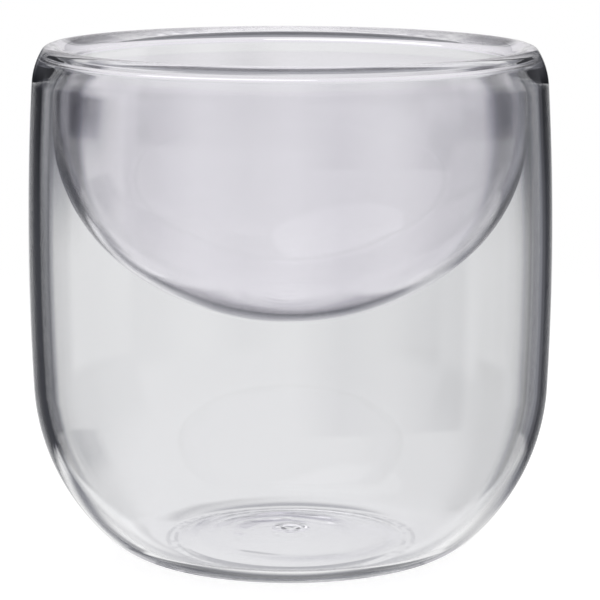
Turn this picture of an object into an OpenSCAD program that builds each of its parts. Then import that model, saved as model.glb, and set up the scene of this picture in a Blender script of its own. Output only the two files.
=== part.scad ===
// A double walled glass cup. The outer wall and its base are one shell and the bowl is another.
// The two shells meet only in the bead at the lip, and a drop of glass closes the vent in the base.
// Every piece is a round section turned about the Z axis. The origin is the middle of the base,
// at the height of the surface that the cup stands on.

/* [Overall] */
// Height of the cup
cup_h = 78.5; // [68:0.5:94]
// Outside diameter at the widest part of the belly
cup_d = 80; // [68:0.5:94]

/* [Outer wall] */
// Thickness of the outer wall and the base
wall_t = 1.8; // [1.2:0.1:2.2]
// Height of the widest part of the belly above the table, as a share of the cup's height
belly_share = 0.6; // [0.54:0.01:0.66]
// Radius of the belly's curve, seen from the side
belly_r = 420; // [300:10:700]
// Radius of the neck's curve, where the wall leans in below the lip
neck_r = 11; // [9:0.5:13]
// Depth of the centre of the neck's curve below the lip, as a share of its radius
neck_depth_share = 0.58; // [0.5:0.01:0.68]
// Radius of the heel's curve, next to the foot
heel_r = 13.2; // [10:0.1:16]
// Angle that the heel's curve turns through
heel_turn = 41.5; // [36:0.5:46]

/* [Base] */
// Outer diameter of the flat ring that the cup stands on
foot_d = 39.4; // [36:0.2:42]
// Width of that ring
foot_w = 2; // [1:0.1:4]
// How far the middle of the base is pushed up inside the ring
kick_h = 1.4; // [0.8:0.1:2.5]

/* [Bowl] */
// Clear air between the outer wall and the widest part of the bowl
air_gap = 1.6; // [1.2:0.1:2.4]
// Thickness of the bowl's wall
bowl_t = 1.3; // [1.1:0.1:2]
// Depth of the bowl's widest part below the lip
bowl_belly_depth = 11.8; // [10:0.2:14]
// Height of the bowl's round part, below its widest part, as a share of its outside radius
bowl_round_share = 0.841; // [0.75:0.001:0.95]
// Radius of the bowl's side, as a share of the height of its round part
bowl_side_share = 0.9; // [0.7:0.01:0.94]
// Radius of the bowl's slight curve above its widest part
bowl_neck_r = 75; // [60:5:120]

/* [Rim] */
// Height of the bead that joins the shells, from its seams to the top of the lip
bead_h = 4; // [3.6:0.1:5]
// Thickness of glass in the bead above the air space
bead_t = 1.9; // [1.5:0.1:2.2]
// Radius of the lip's outer edge
lip_out_r = 1.4; // [1:0.1:2]
// Radius of the lip's inner edge
lip_in_r = 2; // [1:0.1:2.2]

/* [Vent] */
// Diameter of the vent through the base
vent_d = 3; // [2:0.1:4]
// Diameter of the drop of glass on the base, over the vent
drop_d = 6.4; // [5:0.1:8]
// Height of that drop above the base
drop_h = 0.6; // [0.4:0.1:2]
// How far the drop stands out under the base
navel_h = 0.4; // [0.2:0.1:0.6]

/* [Hidden] */

// Steps round the axis
round_steps = 180;
// Largest distance between a curve and the straight steps that it is drawn with
curve_sag = 0.004;
// Points of an outline that are closer than this are one point
same_point = 0.001;
// Steps on the low domes of the base and the drop
dome_steps = 12;
// Steps of the search for the radius of the air space's top
arch_steps = 12;

// Radii of the round features
cup_r = cup_d / 2;
foot_r = foot_d / 2;
foot_inner_r = foot_r - foot_w;
vent_r = vent_d / 2;
drop_r = drop_d / 2;

// Height of the flat seams between the bead and the two shells
seam_z = cup_h - bead_h;

// Centres of the outer wall's curves. Each curve leaves the one below it in the same direction.
belly_c = [cup_r - belly_r, belly_share * cup_h];
heel_c = [foot_r, heel_r];
heel_top_angle = heel_turn - 90;
heel_top = on_circle(heel_c, heel_r, heel_top_angle);
heel_out = on_circle([0, 0], 1, heel_top_angle);
heel_to_belly = heel_top - belly_c;
side_r = (belly_r ^ 2 - heel_to_belly * heel_to_belly) / (2 * (belly_r - heel_to_belly * heel_out));
side_c = heel_top - side_r * heel_out;
side_top_angle = direction(belly_c, side_c);
neck_z = cup_h - neck_depth_share * neck_r;
neck_c = [circle_x(belly_c, belly_r - neck_r, neck_z), neck_z];
neck_angle = direction(belly_c, neck_c);
lip_out_z = cup_h - lip_out_r;
lip_out_c = [circle_x(neck_c, neck_r - lip_out_r, lip_out_z), lip_out_z];
lip_out_angle = direction(neck_c, lip_out_c);

// Centres of the bowl's curves
bowl_belly_z = cup_h - bowl_belly_depth;
bowl_r = circle_x(belly_c, belly_r - wall_t, bowl_belly_z) - air_gap;
bowl_round_h = bowl_round_share * bowl_r;
bowl_side_r = bowl_side_share * bowl_round_h;
bowl_side_c = [bowl_r - bowl_side_r, bowl_belly_z];
bowl_bottom_r = (bowl_side_c.x ^ 2 + bowl_round_h ^ 2 - bowl_side_r ^ 2) / (2 * (bowl_round_h - bowl_side_r));
bowl_bottom_c = [0, bowl_belly_z - bowl_round_h + bowl_bottom_r];
bowl_side_angle = direction(bowl_bottom_c, bowl_side_c);
bowl_neck_c = [bowl_r - bowl_neck_r, bowl_belly_z];
lip_in_z = cup_h - lip_in_r;
lip_in_c = [circle_x(bowl_neck_c, bowl_neck_r - bowl_t + lip_in_r, lip_in_z), lip_in_z];
lip_in_angle = direction(bowl_neck_c, lip_in_c) + 180;

// The rounded top of the air space, which touches the belly's inner face and the bowl's outer face
arch_r = arch_radius(air_gap / 2, arch_steps);
arch_z = cup_h - bead_t - arch_r;
arch_c = [circle_x(belly_c, belly_r - wall_t - arch_r, arch_z), arch_z];
arch_out_angle = direction(belly_c, arch_c);
arch_in_angle = direction(bowl_neck_c, arch_c) + 180;

// The point at an angle on a circle
function on_circle(centre, r, angle) = centre + r * [cos(angle), sin(angle)];

// The direction from one point to another
function direction(from, to) = atan2(to.y - from.y, to.x - from.x);

// The angle at which a circle passes a height, on its outer side
function angle_at(centre, r, z) = asin((z - centre.y) / r);

// How far out a circle lies at a height. A small circle touches a large one from inside when its centre
// is on the circle that is smaller by its radius, and from outside when that is larger by its radius.
function circle_x(centre, r, z) = centre.x + sqrt(r ^ 2 - (z - centre.y) ^ 2);

// How far a circle under the bead reaches past the air space that it has to fill. Zero means that it fits.
function arch_misfit(r) =
    let (z = cup_h - bead_t - r)
    circle_x(belly_c, belly_r - wall_t - r, z) - circle_x(bowl_neck_c, bowl_neck_r + r, z);

// The radius of the circle that touches both sides of the air space
function arch_radius(r, steps) = steps < 1 ? r : arch_radius(r + arch_misfit(r) / 2, steps - 1);

// Points along a circle, from one angle to another
function curve(centre, r, from, to) =
    let (step = 2 * acos(1 - curve_sag / r), count = max(1, ceil(abs(to - from) / step)))
    [for (i = [0 : count]) on_circle(centre, r, from + (to - from) * i / count)];

// Height of a low dome over its rim, at a distance from its middle
function dome_z(rim_r, rise, r) =
    let (dome_r = (rim_r ^ 2 + rise ^ 2) / (2 * rise))
    sqrt(dome_r ^ 2 - r ^ 2) - (dome_r - rise);

// Points on such a dome, from one distance to another
function dome(rim_r, rise, base_z, from, to) =
    [for (i = [0 : dome_steps])
        let (r = from + (to - from) * i / dome_steps)
        [r, base_z + dome_z(rim_r, rise, r)]];

// An outline without the points that repeat where two curves meet
function joined(points) =
    [for (i = [0 : len(points) - 1]) if (i == 0 || norm(points[i] - points[i - 1]) > same_point) points[i]];

// The base from the vent outwards. The part under the drop is straight, so that the drop sits on it.
function base_line(depth) =
    concat([[vent_r, depth + dome_z(foot_inner_r, kick_h, vent_r)]],
        dome(foot_inner_r, kick_h, depth, drop_r, foot_inner_r),
        [[foot_r, depth]]);

// The outer wall from the foot up to the belly's widest part, a depth in from its outer face
function heel_line(depth) =
    concat(curve(heel_c, heel_r - depth, -90, heel_top_angle),
        curve(side_c, side_r - depth, heel_top_angle, side_top_angle));

// The bowl's wall from the bottom up to the seam, a depth in from its outer face
function bowl_line(depth) =
    concat(curve(bowl_bottom_c, bowl_bottom_r - depth, -90, bowl_side_angle),
        curve(bowl_side_c, bowl_side_r - depth, bowl_side_angle, 0),
        curve(bowl_neck_c, bowl_neck_r - depth, 0, angle_at(bowl_neck_c, bowl_neck_r - depth, seam_z)));

// The same points in the other order
function backwards(points) = [for (i = [len(points) - 1 : -1 : 0]) points[i]];

// A section turned about the axis
module turned(points) {
    rotate_extrude($fn = round_steps)
        polygon(joined(points));
}

// The outer shell: the base with its vent, the heel, the belly and the neck up to the seam
module outer_wall() {
    outside = concat(base_line(0), heel_line(0),
        curve(belly_c, belly_r, side_top_angle, neck_angle),
        curve(neck_c, neck_r, neck_angle, angle_at(neck_c, neck_r, seam_z)));
    inside = concat(base_line(wall_t), heel_line(wall_t),
        curve(belly_c, belly_r - wall_t, side_top_angle, angle_at(belly_c, belly_r - wall_t, seam_z)));
    color([0.80, 0.84, 0.88, 0.4])
        turned(concat(outside, backwards(inside)));
}

// The inner shell: the bowl, from its round bottom up to the seam
module inner_bowl() {
    color([0.86, 0.88, 0.91, 0.45])
        turned(concat(bowl_line(0), backwards(bowl_line(bowl_t))));
}

// The lip, where the shells are melted together. Its underside arches over the air space.
module rim_bead() {
    outer_face = concat(curve(neck_c, neck_r, angle_at(neck_c, neck_r, seam_z), lip_out_angle),
        curve(lip_out_c, lip_out_r, lip_out_angle, 90));
    inner_face = concat(curve(lip_in_c, lip_in_r, 90, lip_in_angle),
        curve(bowl_neck_c, bowl_neck_r - bowl_t,
            direction(bowl_neck_c, lip_in_c), angle_at(bowl_neck_c, bowl_neck_r - bowl_t, seam_z)));
    underside = concat(curve(bowl_neck_c, bowl_neck_r,
            angle_at(bowl_neck_c, bowl_neck_r, seam_z), direction(bowl_neck_c, arch_c)),
        curve(arch_c, arch_r, arch_in_angle, arch_out_angle),
        curve(belly_c, belly_r - wall_t, arch_out_angle, angle_at(belly_c, belly_r - wall_t, seam_z)));
    color([0.70, 0.74, 0.79, 0.6])
        turned(concat(outer_face, inner_face, underside));
}

// The drop of glass that fills the vent, with a round head on the base and a low navel under it
module vent_seal() {
    under_z = dome_z(foot_inner_r, kick_h, vent_r);
    seat_z = wall_t + dome_z(foot_inner_r, kick_h, drop_r);
    navel = [for (p = dome(vent_r, navel_h, 0, 0, vent_r)) [p.x, under_z - p.y]];
    head = dome(drop_r, drop_h, seat_z, drop_r, 0);
    color([0.62, 0.66, 0.72, 0.7])
        turned(concat(navel, [[vent_r, wall_t + under_z]], head));
}

outer_wall();
inner_bowl();
rim_bead();
vent_seal();
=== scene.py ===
# %% [markdown]
# # A double walled glass cup
# This cup is two glass shells with air between them. The outer shell stands on the table, the bowl
# hangs inside it, and the two are melted together at the lip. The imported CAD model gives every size.
# It is loaded first, and each piece below takes the place of one of its solids.

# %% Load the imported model
import math

import bpy
import numpy as np
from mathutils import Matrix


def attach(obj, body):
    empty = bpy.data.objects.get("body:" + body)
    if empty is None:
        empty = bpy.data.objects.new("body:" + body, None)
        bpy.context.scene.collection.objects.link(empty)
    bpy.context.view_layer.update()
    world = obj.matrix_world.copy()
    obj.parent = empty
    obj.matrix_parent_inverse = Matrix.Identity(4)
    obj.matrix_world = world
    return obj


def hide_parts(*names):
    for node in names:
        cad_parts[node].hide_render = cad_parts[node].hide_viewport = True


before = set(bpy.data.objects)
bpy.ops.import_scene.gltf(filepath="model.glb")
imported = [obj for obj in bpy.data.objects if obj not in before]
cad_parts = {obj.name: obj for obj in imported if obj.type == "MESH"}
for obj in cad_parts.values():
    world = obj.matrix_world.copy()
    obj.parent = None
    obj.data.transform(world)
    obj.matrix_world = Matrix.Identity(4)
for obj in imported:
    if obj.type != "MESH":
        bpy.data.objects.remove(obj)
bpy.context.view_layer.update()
print("solids of the packed model:", sorted(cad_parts))

# %% [markdown]
# ## Camera
# The photograph is taken with a long lens from a little above the lip, so the lip shows as a thin
# ellipse and the base as a fuller one. The place of the camera and its lens were fitted to the outline
# of the cup. The camera turns a very small angle to the right, which leaves the cup left of the middle.

# %% Camera
camera_distance, camera_height = 0.480, 0.1188
camera_pitch, camera_turn = math.radians(-9.417), math.radians(-0.172)

lens = bpy.data.cameras.new("camera")
lens.lens, lens.sensor_width = 190.2, 36.0
lens.clip_start, lens.clip_end = 0.01, 20.0
lens.dof.use_dof = False
camera = bpy.data.objects.new("camera", lens)
camera.location = (0.0, -camera_distance, camera_height)
camera.rotation_euler = (math.pi / 2 + camera_pitch, 0.0, camera_turn)
bpy.context.scene.collection.objects.link(camera)
bpy.context.scene.camera = camera
print("camera at", [round(x, 4) for x in camera.location])

# %% [markdown]
# ## How a turned shell is drawn
# Each piece of the cup is blown or pressed while it spins, so each is a section carried round one
# axis. A section could be drawn by hand as a curve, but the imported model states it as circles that
# touch, and the same few rules give exactly the same outline here. Working on the outline as an array
# of numbers keeps every ring of the mesh true, which matters because glass shows the smallest dent.
#
# A point of a section is a pair: how far it is from the axis, and how high. In the names below, _r is
# a radius, _c the middle of a circle, _h a height, _t a thickness, _w a width and _z a place in height.

# %% Points and directions
def on_circle(centre, radius, angle):
    """The point at an angle on a circle: centre + radius * (cosine, sine)."""
    return np.array(centre) + radius * np.array([math.cos(angle), math.sin(angle)])


def direction(start, end):
    """The angle of the line from one point to another."""
    return math.atan2(end[1] - start[1], end[0] - start[0])


def circle_r(centre, radius, z):
    """How far out a circle lies at a height: middle + root(radius^2 - (z - middle's height)^2)."""
    return centre[0] + math.sqrt(radius ** 2 - (z - centre[1]) ** 2)


def angle_at(centre, radius, z):
    """The angle at which a circle passes a height on its outer side."""
    return math.asin((z - centre[1]) / radius)


# %% Arcs and lines
longest_step = 0.0008
widest_turn = math.radians(2.4)
fewest_steps = 8
edge_steps = 3


def arc(centre, radius, start, end):
    """Points on a circle at angles start + share * (end - start), where share = (1 - cos(pi t)) / 2.
    That makes the steps short near both ends, so the surface keeps its true slope where pieces meet."""
    turn = abs(end - start)
    count = max(fewest_steps, math.ceil(turn * radius / longest_step), math.ceil(turn / widest_turn))
    angles = start + (end - start) * (1.0 - np.cos(np.linspace(0.0, math.pi, count + 1))) / 2
    return np.array(centre) + radius * np.stack([np.cos(angles), np.sin(angles)], axis=1)


def line(start, end, count=edge_steps):
    """Points on a straight line: start + share * (end - start)."""
    share = np.linspace(0.0, 1.0, count + 1)[:, None]
    return np.array(start) + share * (np.array(end) - np.array(start))


print("a quarter of a 40 mm circle takes", len(arc((0, 0), 0.040, 0, math.pi / 2)) - 1, "steps")

# %% [markdown]
# ## Worked by hand
# Real glass of this kind is worked by hand in a flame, and isn't perfectly round. One slow wander that
# depends only on angle and height moves all the pieces together, so they still fit at their seams. It
# only ever moves glass inwards, which keeps the cup within its packed size.

# %% Out of round
waves = [(2, 0.0011, 0.6, 9.0), (3, 0.0006, -1.1, -30.0)]
wander_from, wander_to = 0.004, 0.02


def smooth_step(start, end, x):
    """0 at start, 1 at end and 3t^2 - 2t^3 between, where t is the share of the way. It may also fall,
    from a start that is higher than the end."""
    t = np.clip((x - start) / (end - start), 0.0, 1.0)
    return t * t * (3.0 - 2.0 * t)


def out_of_round(angle, z):
    """Share by which the radius is off: the sum of size * cos(count * angle + phase + twist * z) over
    the waves, less all their sizes. The waves fade out towards the foot."""
    wander = sum(size * np.cos(count * angle + phase + twist * z) for count, size, phase, twist in waves)
    return wander * smooth_step(wander_from, wander_to, z) - sum(size for _, size, _, _ in waves)


print("radius off by up to", round(200 * sum(size for _, size, _, _ in waves), 2), "percent")

# %% [markdown]
# The vent in the base is closed with a drop of molten glass while the cup turns, and that leaves a
# swirl of low ridges round it. Each ridge is an arc that widens as it turns and fades towards its ends.
# Its row gives, in order: how far its middle is to the side, its radius, how much that grows with each
# radian, its width, its height, and in degrees the angle where it is strongest and how far it spreads.

# %% Swirl in the base
swirls = [
    (-0.0007, 0.0104, 0.0008, 0.0014, 0.00016, 95, 62),
    (-0.0015, 0.0060, 0.0007, 0.0011, 0.00012, 140, 70),
    (0.0008, 0.0148, 0.0003, 0.0010, 0.00007, -80, 75),
    (-0.0004, 0.0145, -0.0006, 0.0012, 0.00006, 120, 60),
]
wobble, wobble_round, wobble_across = 0.35, 7.0, 900.0
swirl_out_r, swirl_in_r = 0.0174, 0.0155


def swirl(x, y):
    """Height of the swirl at a place: the sum of tall * exp(-(off / width)^2 - (turn / spread)^2), where
    off is the distance from the ridge's arc and turn the angle from its strongest point."""
    height = np.zeros_like(x)
    for middle_x, ring, widen, width, tall, angle, spread in swirls:
        turn = (np.arctan2(y, x - middle_x) - math.radians(angle) + math.pi) % (2 * math.pi) - math.pi
        off = np.hypot(x - middle_x, y) - ring - widen * turn
        uneven = 1.0 + wobble * np.sin(wobble_round * turn + wobble_across * off)
        height += tall * uneven * np.exp(-(off / width) ** 2 - (turn / math.radians(spread)) ** 2)
    return height * smooth_step(swirl_out_r, swirl_in_r, np.hypot(x, y))


# %% Wander, tilt and swirl together
lip_tilt = math.radians(0.18)
tilt_from, tilt_to, tilt_r = 0.045, 0.0785, 0.0375
base_from, base_to = (0.0013, 0.0018), (0.006, 0.005)


def worked(points):
    """Points of a true cup moved to where hand work left them: radius * (1 + wander), the lip lowered by
    tan(tilt) * (lip's radius + x), and the swirl on the upper side of the base."""
    x, y, z = points.T
    grow = 1.0 + out_of_round(np.arctan2(y, x), z)
    drop = math.tan(lip_tilt) * smooth_step(tilt_from, tilt_to, z) * (tilt_r + x)
    on_base = smooth_step(*base_from, z) * smooth_step(*base_to, z)
    return np.stack([x * grow, y * grow, z - drop + on_base * swirl(x, y)], axis=1)


print("lip lowered by up to", round(2000 * tilt_r * math.tan(lip_tilt), 2), "mm")

# %% [markdown]
# ## Mesh of a turned piece
# A mesh piece is a grid: one direction runs along the section and the other runs round the axis. Where
# the section starts and ends on the axis, its ring shrinks to one point, so that no hole is left there.
# A section comes in runs, because the faces where pieces are melted together have a finish of their own.

# %% Points of a turned piece
round_steps = 300
on_axis_r = 1e-9


def joined(runs):
    """One section from its runs, each of which starts where the last ends, and the finish of each step."""
    section, finish = [runs[0][0][0]], []
    for points, slot in runs:
        section.extend(points[1:])
        finish.extend([slot] * (len(points) - 1))
    return np.array(section), finish


def carried(rings, angles):
    """Section points carried round the axis: (r, z) becomes (r cos a, r sin a, z) at each angle a."""
    return np.stack([
        np.outer(rings[:, 0], np.cos(angles)),
        np.outer(rings[:, 0], np.sin(angles)),
        np.repeat(rings[:, 1:], len(angles), axis=1),
    ], axis=2).reshape(-1, 3)


def add_mesh(name, points, faces):
    """A new object at the origin, with its place in its mesh."""
    mesh = bpy.data.meshes.new(name)
    mesh.from_pydata(points.tolist(), [], faces)
    mesh.update()
    thing = bpy.data.objects.new(name, mesh)
    bpy.context.scene.collection.objects.link(thing)
    return thing


# %% Faces of a turned piece
sharp_edge = math.radians(35)


def turned(name, runs):
    """A piece from a closed section. Face (i, j) joins points j and j + 1 of ring i to those of ring i + 1,
    and each pole is a fan of triangles round a point on the axis."""
    section, finish = joined(runs)
    has_poles = section[0, 0] < on_axis_r and section[-1, 0] < on_axis_r
    rings, steps = (section[1:-1], finish[1:-1]) if has_poles else (section[:-1], finish)
    points = carried(rings, np.linspace(0.0, 2 * math.pi, round_steps, endpoint=False))
    here = np.arange(round_steps)
    beside = (here + 1) % round_steps
    low = np.arange(len(steps))[:, None] * round_steps
    high = (low + round_steps) % len(points)
    faces = np.stack([low + here, low + beside, high + beside, high + here], axis=2).reshape(-1, 4).tolist()
    if has_poles:
        pole, top = np.full(round_steps, len(points)), len(points) - round_steps
        points = np.vstack([points, [0.0, 0.0, section[0, 1]], [0.0, 0.0, section[-1, 1]]])
        faces += np.stack([pole, beside, here], axis=1).tolist()
        faces += np.stack([pole + 1, top + here, top + beside], axis=1).tolist()
        steps = steps + [finish[0], finish[-1]]
    piece = add_mesh(name, worked(points), faces)
    piece.data.polygons.foreach_set("material_index", np.repeat(steps, round_steps).astype(np.int32))
    piece.data.shade_smooth()
    piece.data.set_sharp_from_angle(angle=sharp_edge)
    piece.data.update()
    print(name, "triangles:", sum(len(face) - 2 for face in faces))
    return piece


# %% [markdown]
# ## Outer wall and base
# The outer shell leans in a little from its belly to the neck, turns a wide curve at the side and a
# tight one at the heel, and stands on a narrow flat ring. Inside that ring the base is pushed up, so
# that it doesn't rock. Each circle touches the next, so the section has no kink anywhere.

# %% Sizes of the outer wall
cup_h, cup_r, wall_t = 0.0785, 0.040, 0.0018
seam_z = cup_h - 0.004
belly_r, belly_z = 0.420, 0.6 * cup_h
heel_r, heel_end = 0.0132, math.radians(41.5 - 90)
neck_r = 0.011
neck_z = cup_h - 0.58 * neck_r
foot_r, foot_w, kick_h = 0.0197, 0.002, 0.0014
vent_r, drop_r, drop_h, navel_h = 0.0015, 0.0032, 0.0006, 0.0004
foot_in_r = foot_r - foot_w

# %% Circles of the outer wall
belly_c = (cup_r - belly_r, belly_z)
heel_c = (foot_r, heel_r)
heel_top = on_circle(heel_c, heel_r, heel_end)
heel_out = on_circle((0, 0), 1, heel_end)
reach = heel_top - belly_c
side_r = (belly_r ** 2 - reach @ reach) / (2 * (belly_r - reach @ heel_out))
side_c = heel_top - side_r * heel_out
side_end = direction(belly_c, side_c)
neck_c = (circle_r(belly_c, belly_r - neck_r, neck_z), neck_z)
neck_start = direction(belly_c, neck_c)
print("side radius", round(side_r, 5), "neck at", np.round(neck_c, 5))


# %% Both faces of the outer wall
def wall_line(depth, top):
    """The outer shell from the foot up, a depth in from its outer face."""
    return np.vstack([
        arc(heel_c, heel_r - depth, -math.pi / 2, heel_end),
        arc(side_c, side_r - depth, heel_end, side_end)[1:],
        top[1:],
    ])


outer_line = wall_line(0, np.vstack([
    arc(belly_c, belly_r, side_end, neck_start),
    arc(neck_c, neck_r, neck_start, angle_at(neck_c, neck_r, seam_z))[1:],
]))
wall_in_r = belly_r - wall_t
inner_line = wall_line(wall_t, arc(belly_c, wall_in_r, side_end, angle_at(belly_c, wall_in_r, seam_z)))
print("points up the wall:", len(outer_line), "outside,", len(inner_line), "inside")

# %% Both faces of the base
under_steps, upper_steps, seat_steps = 18, 60, 2


def dome_z(rim_r, rise, r):
    """Height of a low dome over its rim: root(R^2 - r^2) - (R - rise), where R is its radius,
    (rim^2 + rise^2) / (2 rise)."""
    dome_r = (rim_r ** 2 + rise ** 2) / (2 * rise)
    return np.sqrt(dome_r ** 2 - r ** 2) - (dome_r - rise)


def dome(rim_r, rise, base_z, start, end, count):
    """Points on a low dome from one distance from its middle to another."""
    r = np.linspace(start, end, count + 1)
    return np.stack([r, base_z + dome_z(rim_r, rise, r)], axis=1)


vent_z, drop_z = dome_z(foot_in_r, kick_h, vent_r), dome_z(foot_in_r, kick_h, drop_r)
base_under = dome(foot_in_r, kick_h, 0, vent_r, foot_in_r, under_steps)
base_seat = line((vent_r, wall_t + vent_z), (drop_r, wall_t + drop_z), seat_steps)
base_upper = dome(foot_in_r, kick_h, wall_t, drop_r, foot_in_r, upper_steps)
print("base at the vent from", round(vent_z, 5), "to", round(vent_z + wall_t, 5))

# %% Outer wall piece
clear, seam = 0, 1
outer_wall = turned("outer_wall_glass", [
    (base_under, clear),
    (line(base_under[-1], (foot_r, 0)), clear),
    (outer_line, clear),
    (line(outer_line[-1], inner_line[-1]), seam),
    (inner_line[::-1], clear),
    (line((foot_r, wall_t), base_upper[-1]), clear),
    (base_upper[::-1], clear),
    (base_seat[::-1], seam),
    (line(base_seat[0], base_under[0]), seam),
])

# %% [markdown]
# ## Bowl
# The bowl is blown on its own. Its bottom is part of a large sphere, its side turns a tighter curve,
# and above its widest place it leans in very slightly up to the lip. It hangs clear of the outer wall
# by a narrow gap of air, so its widest place follows from that gap. The circle of its bottom touches
# that of its side, which gives its radius.

# %% Circles of the bowl
bowl_t, air_gap = 0.0013, 0.0016
bowl_z = cup_h - 0.0118
bowl_r = circle_r(belly_c, wall_in_r, bowl_z) - air_gap
bowl_round_h = 0.841 * bowl_r
bowl_side_r = 0.9 * bowl_round_h
bowl_side_c = (bowl_r - bowl_side_r, bowl_z)
bowl_bottom_r = (bowl_side_c[0] ** 2 + bowl_round_h ** 2 - bowl_side_r ** 2) / 2
bowl_bottom_r /= bowl_round_h - bowl_side_r
bowl_bottom_c = (0, bowl_z - bowl_round_h + bowl_bottom_r)
bowl_side_start = direction(bowl_bottom_c, bowl_side_c)
bowl_neck_r = 0.075
bowl_neck_c = (bowl_r - bowl_neck_r, bowl_z)
print("bowl radius", round(bowl_r, 5), "bottom radius", round(bowl_bottom_r, 5))


# %% Bowl piece
def bowl_line(depth):
    """The bowl's wall from the middle of its bottom up to the seam, a depth in from its outer face."""
    neck_in_r = bowl_neck_r - depth
    points = np.vstack([
        arc(bowl_bottom_c, bowl_bottom_r - depth, -math.pi / 2, bowl_side_start),
        arc(bowl_side_c, bowl_side_r - depth, bowl_side_start, 0)[1:],
        arc(bowl_neck_c, neck_in_r, 0, angle_at(bowl_neck_c, neck_in_r, seam_z))[1:],
    ])
    points[0, 0] = 0
    return points


bowl_out, bowl_in = bowl_line(0), bowl_line(bowl_t)
inner_bowl = turned("inner_bowl_glass", [
    (bowl_out, clear),
    (line(bowl_out[-1], bowl_in[-1]), seam),
    (bowl_in[::-1], clear),
])

# %% [markdown]
# ## Lip
# Where the shells are melted together, the glass draws itself into a rounded bead. Its underside
# arches over the air between the walls. The arch is the circle that touches both walls and leaves the
# stated thickness of glass above it, and a short search finds its radius.

# %% Circles of the lip
lip_out_r, lip_in_r, bead_t = 0.0014, 0.002, 0.0019
lip_out_z, lip_in_z = cup_h - lip_out_r, cup_h - lip_in_r
bowl_in_r = bowl_neck_r - bowl_t
lip_out_c = (circle_r(neck_c, neck_r - lip_out_r, lip_out_z), lip_out_z)
lip_in_c = (circle_r(bowl_neck_c, bowl_in_r + lip_in_r, lip_in_z), lip_in_z)
lip_out_start, lip_in_end = direction(neck_c, lip_out_c), direction(bowl_neck_c, lip_in_c)

arch_r, arch_tries = 0.0008, 12
for _ in range(arch_tries):
    arch_z = cup_h - bead_t - arch_r
    left = circle_r(bowl_neck_c, bowl_neck_r + arch_r, arch_z)
    arch_r += (circle_r(belly_c, wall_in_r - arch_r, arch_z) - left) / 2
arch_z = cup_h - bead_t - arch_r
arch_c = (circle_r(belly_c, wall_in_r - arch_r, arch_z), arch_z)
arch_start, arch_end = direction(bowl_neck_c, arch_c), direction(belly_c, arch_c)
print("arch radius", round(arch_r, 5))

# %% Lip piece
lip_outer = np.vstack([
    arc(neck_c, neck_r, angle_at(neck_c, neck_r, seam_z), lip_out_start),
    arc(lip_out_c, lip_out_r, lip_out_start, math.pi / 2)[1:],
    arc(lip_in_c, lip_in_r, math.pi / 2, lip_in_end + math.pi),
    arc(bowl_neck_c, bowl_in_r, lip_in_end, angle_at(bowl_neck_c, bowl_in_r, seam_z))[1:],
])
lip_under = np.vstack([
    arc(bowl_neck_c, bowl_neck_r, angle_at(bowl_neck_c, bowl_neck_r, seam_z), arch_start),
    arc(arch_c, arch_r, arch_start + math.pi, arch_end)[1:],
    arc(belly_c, wall_in_r, arch_end, angle_at(belly_c, wall_in_r, seam_z))[1:],
])
rim_bead = turned("rim_bead_glass", [
    (lip_outer, clear),
    (line(lip_outer[-1], lip_under[0]), seam),
    (lip_under, clear),
    (line(lip_under[-1], lip_outer[0]), seam),
])

# %% [markdown]
# ## Vent seal
# The shells are joined with a small vent left open in the base, and a drop of molten glass closes it
# at the end. It fills the vent, runs out softly over the inside of the base and leaves a low navel
# below. A plain dome would end in an edge, so the drop is a hump that is level where it meets the base:
# it stands drop_h * (1 - (r / drop_r)^2)^2 above it.

# %% Vent seal piece
navel_steps, head_steps = 6, 24
navel = dome(vent_r, navel_h, 0, 0, vent_r, navel_steps)
navel[:, 1] = vent_z - navel[:, 1]
head = dome(foot_in_r, kick_h, wall_t, drop_r, 0, head_steps)
head[:, 1] += drop_h * (1 - (head[:, 0] / drop_r) ** 2) ** 2
vent_seal = turned("vent_seal_glass", [
    (navel, clear),
    (line(navel[-1], base_seat[0]), seam),
    (base_seat, seam),
    (head, clear),
])

# %% [markdown]
# ## Shader maths
# A material is a graph of nodes. Written one node at a time it hides the idea, so a small class wraps
# a socket: adding or multiplying two of them adds the Math node that does it. One method adds every
# other kind of node.

# %% Values and nodes
class Value:
    """One number in a shader. Each operator adds the Math node that works it out."""

    def __init__(self, finish, socket):
        self.finish, self.socket = finish, socket

    def math(self, operation, *others):
        inputs = dict(enumerate((self, *others)))
        return self.finish.value(self.finish.node("Math", inputs, operation=operation))

    def __add__(self, other): return self.math("ADD", other)
    def __mul__(self, other): return self.math("MULTIPLY", other)
    def __sub__(self, other): return self.math("SUBTRACT", other)
    def __truediv__(self, other): return self.math("DIVIDE", other)
    def __radd__(self, other): return self + other
    def __rmul__(self, other): return self * other
    def __rsub__(self, other): return self * -1 + other

    def smooth(self, start, end):
        """0 below start, 1 above end, and smooth between them."""
        inputs = {"Value": self, "From Min": start, "From Max": end}
        return self.finish.value(self.finish.node("MapRange", inputs, interpolation_type="SMOOTHSTEP"))


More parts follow.
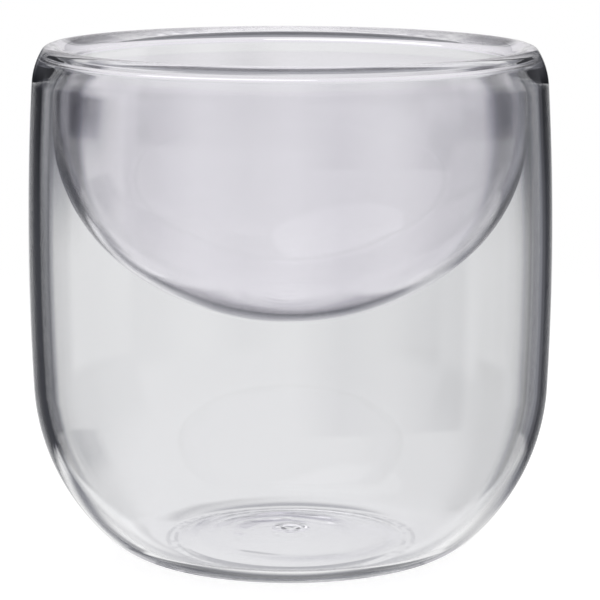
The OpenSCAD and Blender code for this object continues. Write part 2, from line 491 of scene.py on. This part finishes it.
class Finish:
    """A material or world whose node graph starts empty."""

    def __init__(self, owner):
        owner.use_nodes = True
        self.owner, self.tree = owner, owner.node_tree
        self.tree.nodes.clear()

    def node(self, kind, inputs=None, **settings):
        """Adds a node, sets its settings first, then a value or a link for each socket, by name or number."""
        node = self.tree.nodes.new("ShaderNode" + kind)
        for name, value in settings.items():
            if name == "stops":
                self.set_stops(node.color_ramp, value)
            else:
                setattr(node, name, value)
        for name, value in (inputs or {}).items():
            if isinstance(value, Value):
                value = value.socket
            if isinstance(value, bpy.types.NodeSocket):
                self.tree.links.new(value, node.inputs[name])
            else:
                node.inputs[name].default_value = value
        return node

    def set_stops(self, ramp, stops):
        """Greys along a ramp, from pairs of a place and a level."""
        while len(ramp.elements) < len(stops):
            ramp.elements.new(1.0)
        for element, (place, level) in zip(ramp.elements, stops):
            element.position = place
            element.color = (level, level, level, 1.0)

    def value(self, node, output=0):
        """One of a node's outputs as a Value."""
        return Value(self, node.outputs[output])

    def blend(self, share, first, second):
        """The colour first + share * (second - first)."""
        return self.node("MixRGB", {"Fac": share, "Color1": first, "Color2": second}).outputs[0]

    def end(self, shader, kind="OutputMaterial"):
        """Sends a shader to the output, and returns the finished material or world."""
        self.node(kind, {"Surface": shader.outputs[0]})
        return self.owner


# %% [markdown]
# ## Glass
# Clear borosilicate glass has next to no colour of its own in a wall this thin. What shows is what it
# bends and reflects, so the finish is mostly in the surface. A blown wall carries slow waves, drawn out
# along the height, and a bump from stretched noise gives those. The lip was made smooth by a flame, so
# its waves are the lowest. The faint tints are a little lilac in the bowl and grey in the outer wall.
#
# The swirl in the base also holds cords, which are fine streaks of glass that melted unevenly. They lie
# along arcs as the ridges do, and combed noise breaks them up. Their dark slate colour is painted shade:
# it stands for the dark card that the swirl's ridges bend into view. The row of a cord gives its middle,
# its radius, how much that grows with each radian, its width, its angle, how far it spreads and its share.

# %% Cords in the base, dark with painted shade
painted_cord_arcs = [
    (-0.0007, 0.0108, 0.0006, 0.0022, 84, 52, 1.0),
    (-0.0030, 0.0046, 0.0008, 0.0009, 120, 45, 0.9),
    (-0.0002, 0.0166, 0.0004, 0.0008, 95, 70, 0.5),
    (0.0, 0.0158, -0.0005, 0.0015, 156, 18, 0.8),
    (0.0010, 0.0150, 0.0004, 0.0012, -72, 52, 0.5),
]
comb_across, comb_round, comb_apart = 900.0, 1.6, 1000.0
comb_from, comb_to = 0.2, 0.55
painted_cords_from, painted_cords_to = (0.0014, 0.0018), (0.0045, 0.0055)


def painted_dark_cord(glass, x, y, middle_x, ring, widen, width, angle, spread, share):
    """How much painted shade one cord lays on the glass: share * exp(-(off / width)^2 - (turn / spread)^2)
    * comb, where the comb is noise that changes fast across the arc and slowly along it."""
    away = x - middle_x
    cosine, sine = math.cos(math.radians(angle)), math.sin(math.radians(angle))
    turn = (y * cosine - away * sine).math("ARCTAN2", away * cosine + y * sine)
    off = (away * away + y * y).math("SQRT") - ring - turn * widen
    place = glass.node("CombineXYZ", {"X": off * comb_across, "Y": turn * comb_round, "Z": ring * comb_apart})
    noise = glass.node("TexNoise", {"Vector": place.outputs[0], "Scale": 1.0, "Detail": 3.0})
    comb = glass.value(noise).smooth(comb_from, comb_to)
    near, beside = off / width, turn / math.radians(spread)
    return (near * near + beside * beside).math("MULTIPLY", -1.0).math("EXPONENT") * comb * share


def painted_dark_cords(glass, place):
    """How much painted shade all the cords lay on a point of the base, from 0 to 1."""
    spot = glass.node("SeparateXYZ", {"Vector": place})
    x, y, z = (glass.value(spot, i) for i in range(3))
    total = sum(painted_dark_cord(glass, x, y, *row) for row in painted_cord_arcs)
    return (total * z.smooth(*painted_cords_from) * (1.0 - z.smooth(*painted_cords_to))).math("MINIMUM", 1.0)


# %% Clear glass and melted seams
glass_index = 1.472
# The dark slate of the cords is painted shade, standing for dark card that the swirl bends into view.
painted_cord_shade = (0.16, 0.15, 0.24, 1)


def clear_glass(name, tint, wave_height, wave_scale, stretch, with_painted_cords=False):
    """Clear glass whose surface waves are noise on Object coordinates, stretched along the height. Where it
    has painted cords, its colour turns by their share to their dark slate, which is painted shade."""
    glass = Finish(bpy.data.materials.new(name))
    place = glass.node("TexCoord").outputs["Object"]
    colour = (*tint, 1)
    if with_painted_cords:
        colour = glass.blend(painted_dark_cords(glass, place), colour, painted_cord_shade)
    drawn = glass.node("Mapping", {"Vector": place, "Scale": (1.0, 1.0, stretch)})
    waves = glass.node("TexNoise", {
        "Vector": drawn.outputs[0], "Scale": wave_scale, "Detail": 1.0, "Roughness": 0.4})
    bump = glass.node("Bump", {"Height": waves.outputs["Fac"], "Strength": 1.0, "Distance": wave_height})
    return glass.end(glass.node("BsdfPrincipled", {
        "Base Color": colour, "Roughness": 0.0, "IOR": glass_index,
        "Transmission Weight": 1.0, "Normal": bump.outputs[0]}))


def melted_seam():
    """Glass that is melted together has no surface at the seam, so light goes straight through."""
    glass = Finish(bpy.data.materials.new("melted_seam"))
    return glass.end(glass.node("BsdfTransparent"))


wall_glass = clear_glass(
    "blown_wall_glass", (0.950, 0.953, 0.962), wave_height=0.00002, wave_scale=90.0, stretch=0.25,
    with_painted_cords=True)
bowl_glass = clear_glass(
    "blown_bowl_glass", (0.957, 0.945, 0.970), wave_height=0.00002, wave_scale=90.0, stretch=0.3)
lip_glass = clear_glass(
    "flame_polished_lip_glass", (0.985, 0.986, 0.993), wave_height=0.000004, wave_scale=60.0, stretch=1.0)
seal_glass = clear_glass(
    "melted_drop_glass", (0.98, 0.982, 0.992), wave_height=0.00002, wave_scale=220.0, stretch=1.0,
    with_painted_cords=True)
seam_glass = melted_seam()
print("finishes:", [m.name for m in (wall_glass, bowl_glass, lip_glass, seal_glass, seam_glass)])

# %% [markdown]
# ## Each piece takes its solid's place
# A piece rides on the cup's one body and stands for one solid of the imported model, which is hidden.
# Its first finish is its own glass, and its second is the seam, which turned() gave to the faces that meet.

# %% Pieces in place
for piece, glass, node, slot in (
        (outer_wall, wall_glass, "outer_wall", "outer_wall_glass"),
        (inner_bowl, bowl_glass, "inner_bowl", "bowl_glass"),
        (rim_bead, lip_glass, "rim_bead", "rim_glass"),
        (vent_seal, seal_glass, "vent_seal", "seal_glass")):
    piece.data.materials.append(glass)
    piece.data.materials.append(seam_glass)
    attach(piece, "root")
    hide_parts(node)
    print(piece.name, "stands for", node)

# %% [markdown]
# ## What the glass sees
# Glass is photographed in front of a white panel with dark card beside it. Straight through the cup the
# panel shows, and the steep glass at the edges bends the dark card into view, which draws the outline.
#
# Panels and cards could be modelled, but the world can hold them as light that depends on direction
# alone, and nothing stands in the way from any side. It has belts, one for each height at which the
# glass looks out: the table, the low edge of the panel, the heel, the middle, the level and above it.
# A belt's row says how bright it is from each bearing on, in degrees to the left of straight ahead.
# Only glass sees all this. The camera sees plain white, and the floor gets an even light.

# %% Belts of light and card
bright, white, dull, card = 0.86, 0.95, 0.28, 0.06
# The table belt is dark from -18 to 22 degrees: painted shadow, the cup's own shade on the table close behind
# and under it, put into the light that the glass sees.
table_and_painted_shadow_row = [(-180, white), (-18, 0.1), (22, 1.0)]
low_row = [
    (-180, white), (-37, 0.57), (-14, 0.34), (12, 0.54), (15, 0.23), (38, bright), (57, 0.25), (80, white)]
heel_row = [
    (-180, white), (-42, 0.59), (-28, 0.21), (-15, 0.81), (1, 0.45), (7, 0.97), (31, card), (43, 0.77),
    (57, 0.3), (80, white)]
middle_row = [
    (-180, white), (-168, 0.25), (-148, bright), (-122, 0.25), (-97, white), (-48, dull), (-31, card),
    (-12, 0.68), (-6, 0.76), (-2, 0.83), (6, 0.77), (9, 0.71), (14, card), (44, dull), (50, 0.72),
    (62, white)]
level_row = [
    (-180, 0.7), (-168, 0.3), (-148, bright), (-122, 0.3), (-105, dull), (-38, 0.24), (-33, 0.03),
    (-11, 0.72), (-5, 0.84), (7, 0.76), (9, 0.03), (38, 0.33), (52, card), (77, bright), (103, card),
    (128, 0.7)]
upper_row = [(-180, 0.72), (-100, 0.25), (-12, 0.78), (20, 0.2), (100, 0.72)]
belts = [
    (table_and_painted_shadow_row, -60, -43), (low_row, -36, -26), (heel_row, -25, -21), (middle_row, -20, -18.6),
    (level_row, -8.8, -4.3), (upper_row, -4, 7.5)]
print("cards and panels:", sum(len(row) for row, _, _ in belts))

# %% Rows and heights in the world's terms
front_edge, back_edge, front_to = 1.2, 10.0, 110


def slope(elevation):
    """How far up a direction of length 1 points, from its elevation in degrees: the sine."""
    return math.sin(math.radians(elevation))


def ramp_stops(row):
    """Stops of a ramp round the horizon, at (bearing + 180) / 360. Each level holds from its bearing to the
    next one, with soft edges that are wider behind the camera. A ramp holds 32 stops, so a row holds 16
    levels."""
    stops = [(0.0, row[0][1])]
    for (_, before), (start, level) in zip(row, row[1:]):
        edge = front_edge if abs(start) < front_to else back_edge
        stops += [((start - edge + 180) / 360, before), ((start + edge + 180) / 360, level)]
    return stops


print("stops of the fullest ramp:", max(len(ramp_stops(row)) for row, _, _ in belts))


# %% Rays that glass has turned
def rays(finish):
    """Whether a ray comes straight from the camera, and whether glass has bent or thrown it back: 1 or 0."""
    ray = finish.node("LightPath")
    bent, thrown = finish.value(ray, "Is Transmission Ray"), finish.value(ray, "Is Glossy Ray")
    return finish.value(ray, "Is Camera Ray"), bent.math("MAXIMUM", thrown)


# %% Light in every direction
under, overhead, overhead_from, overhead_to = 1.0, 0.87, 12, 35
world = bpy.data.worlds.new("studio")
bpy.context.scene.world = world
studio = Finish(world)
axes = studio.node("SeparateXYZ", {"Vector": studio.node("TexCoord").outputs["Generated"]})
east, north, up = (studio.value(axes, i) for i in range(3))
bearing = (east * -1).math("ARCTAN2", north) * (0.5 / math.pi) + 0.5
seen = under
for row, low, high in belts:
    level = studio.value(studio.node("ValToRGB", {"Fac": bearing}, stops=ramp_stops(row)))
    seen = seen + up.smooth(slope(low), slope(high)) * (level - seen)
seen = seen + up.smooth(slope(overhead_from), slope(overhead_to)) * (overhead - seen)

# %% [markdown]
# Dark card looks slate blue in the photograph and the white above it a little lilac, so the light gets
# its tint from how dark it is and how high it stands.

# %% Tints of the light
plain_light, plain_white = (0.55, 0.55, 0.55, 1), (1, 1, 1, 1)
slate, lilac = (0.84, 0.86, 1.0, 1), (0.975, 0.955, 1.0, 1)
slate_until, lilac_from, lilac_to = 0.7, -2, 12

pale = studio.blend(up.smooth(slope(lilac_from), slope(lilac_to)), plain_white, lilac)
tint = studio.blend(seen.smooth(0.0, slate_until), slate, pale)
shown = studio.node("VectorMath", {"Vector": tint, "Scale": seen}, operation="SCALE").outputs[0]
to_camera, to_glass = rays(studio)
colour = studio.blend(to_camera, studio.blend(to_glass, plain_light, shown), plain_white)
studio.end(studio.node("Background", {"Color": colour, "Strength": 1.0}), "OutputWorld")
print("nodes in the world:", len(world.node_tree.nodes))

# %% [markdown]
# ## Floor
# The cup stands on white paper. The belts already hold the table as the glass sees it, with the cup's
# shadow painted into them, so the paper is there for the camera alone: it catches the soft shadow and
# fades into the white round it. A grey that takes the shadow, with an even glow added for the camera,
# comes out as white paper.

# %% Floor
floor_r, fade_from = 0.30, 0.12
fade_to = 0.98 * floor_r
floor_rings, floor_steps = 24, 96
paper_grey, paper_glow = (0.5, 0.5, 0.5, 1), (0.84, 0.84, 0.84, 1)


def round_floor():
    """A flat disc of rings: (r cos a, r sin a, 0) for r from the first ring to the rim, and its middle."""
    r = floor_r * (np.arange(1, floor_rings + 1) / floor_rings)
    angles = np.linspace(0, 2 * math.pi, floor_steps, endpoint=False)
    points = np.vstack([carried(np.stack([r, 0 * r], axis=1), angles), [[0, 0, 0]]])
    here = np.arange(floor_steps)
    beside = (here + 1) % floor_steps
    low = np.arange(floor_rings - 1)[:, None] * floor_steps
    high = low + floor_steps
    quads = np.stack([low + here, high + here, high + beside, low + beside], axis=2).reshape(-1, 4)
    fan = np.stack([np.full(floor_steps, len(points) - 1), here, beside], axis=1)
    return add_mesh("floor", points, quads.tolist() + fan.tolist())


floor = round_floor()
paper = Finish(bpy.data.materials.new("white_paper"))
spot = paper.node("SeparateXYZ", {"Vector": paper.node("TexCoord").outputs["Object"]})
x, y = paper.value(spot, 0), paper.value(spot, 1)
to_camera, to_glass = rays(paper)
gone = (to_camera * (x * x + y * y).math("SQRT").smooth(fade_from, fade_to)).math("MAXIMUM", to_glass)
shaded = paper.node("BsdfDiffuse", {"Color": paper_grey})
glow = paper.node("Emission", {"Color": paper.blend(to_camera, (0, 0, 0, 1), paper_glow), "Strength": 1.0})
sheet = paper.node("AddShader", {0: shaded.outputs[0], 1: glow.outputs[0]})
nothing = paper.node("BsdfTransparent")
floor.data.materials.append(paper.end(paper.node("MixShader", {
    "Fac": gone, 1: sheet.outputs[0], 2: nothing.outputs[0]})))
print("floor faces:", len(floor.data.polygons))

# %% [markdown]
# ## Lamp
# One soft lamp overhead, a little to the left and behind, gives the cup its faint shadow.

# %% Lamp
lamp_x, lamp_y, lamp_z = -0.25, 0.15, 0.9
softbox = bpy.data.lights.new("overhead_softbox", "AREA")
softbox.shape, softbox.size, softbox.energy = "DISK", 0.7, 0.6
lamp = bpy.data.objects.new("overhead_softbox", softbox)
lamp.location = (lamp_x, lamp_y, lamp_z)
lamp.rotation_euler = (math.atan2(-lamp_y, lamp_z), math.atan2(lamp_x, lamp_z), 0.0)
bpy.context.scene.collection.objects.link(lamp)
print("lamp at", [round(v, 2) for v in lamp.location])

# %% [markdown]
# ## Light through glass
# Light that runs along inside a wall is thrown back dozens of times before it comes out, and where it
# gives up too early the glass turns black. So rays may go on for far longer than the usual dozen turns.

# %% Light through glass
most_turns = 96
scene = bpy.context.scene
scene.view_settings.view_transform = "Standard"
scene.cycles.max_bounces = most_turns
scene.cycles.transmission_bounces = most_turns
scene.cycles.glossy_bounces = most_turns
scene.cycles.transparent_max_bounces = most_turns
print("a ray may turn", most_turns, "times")
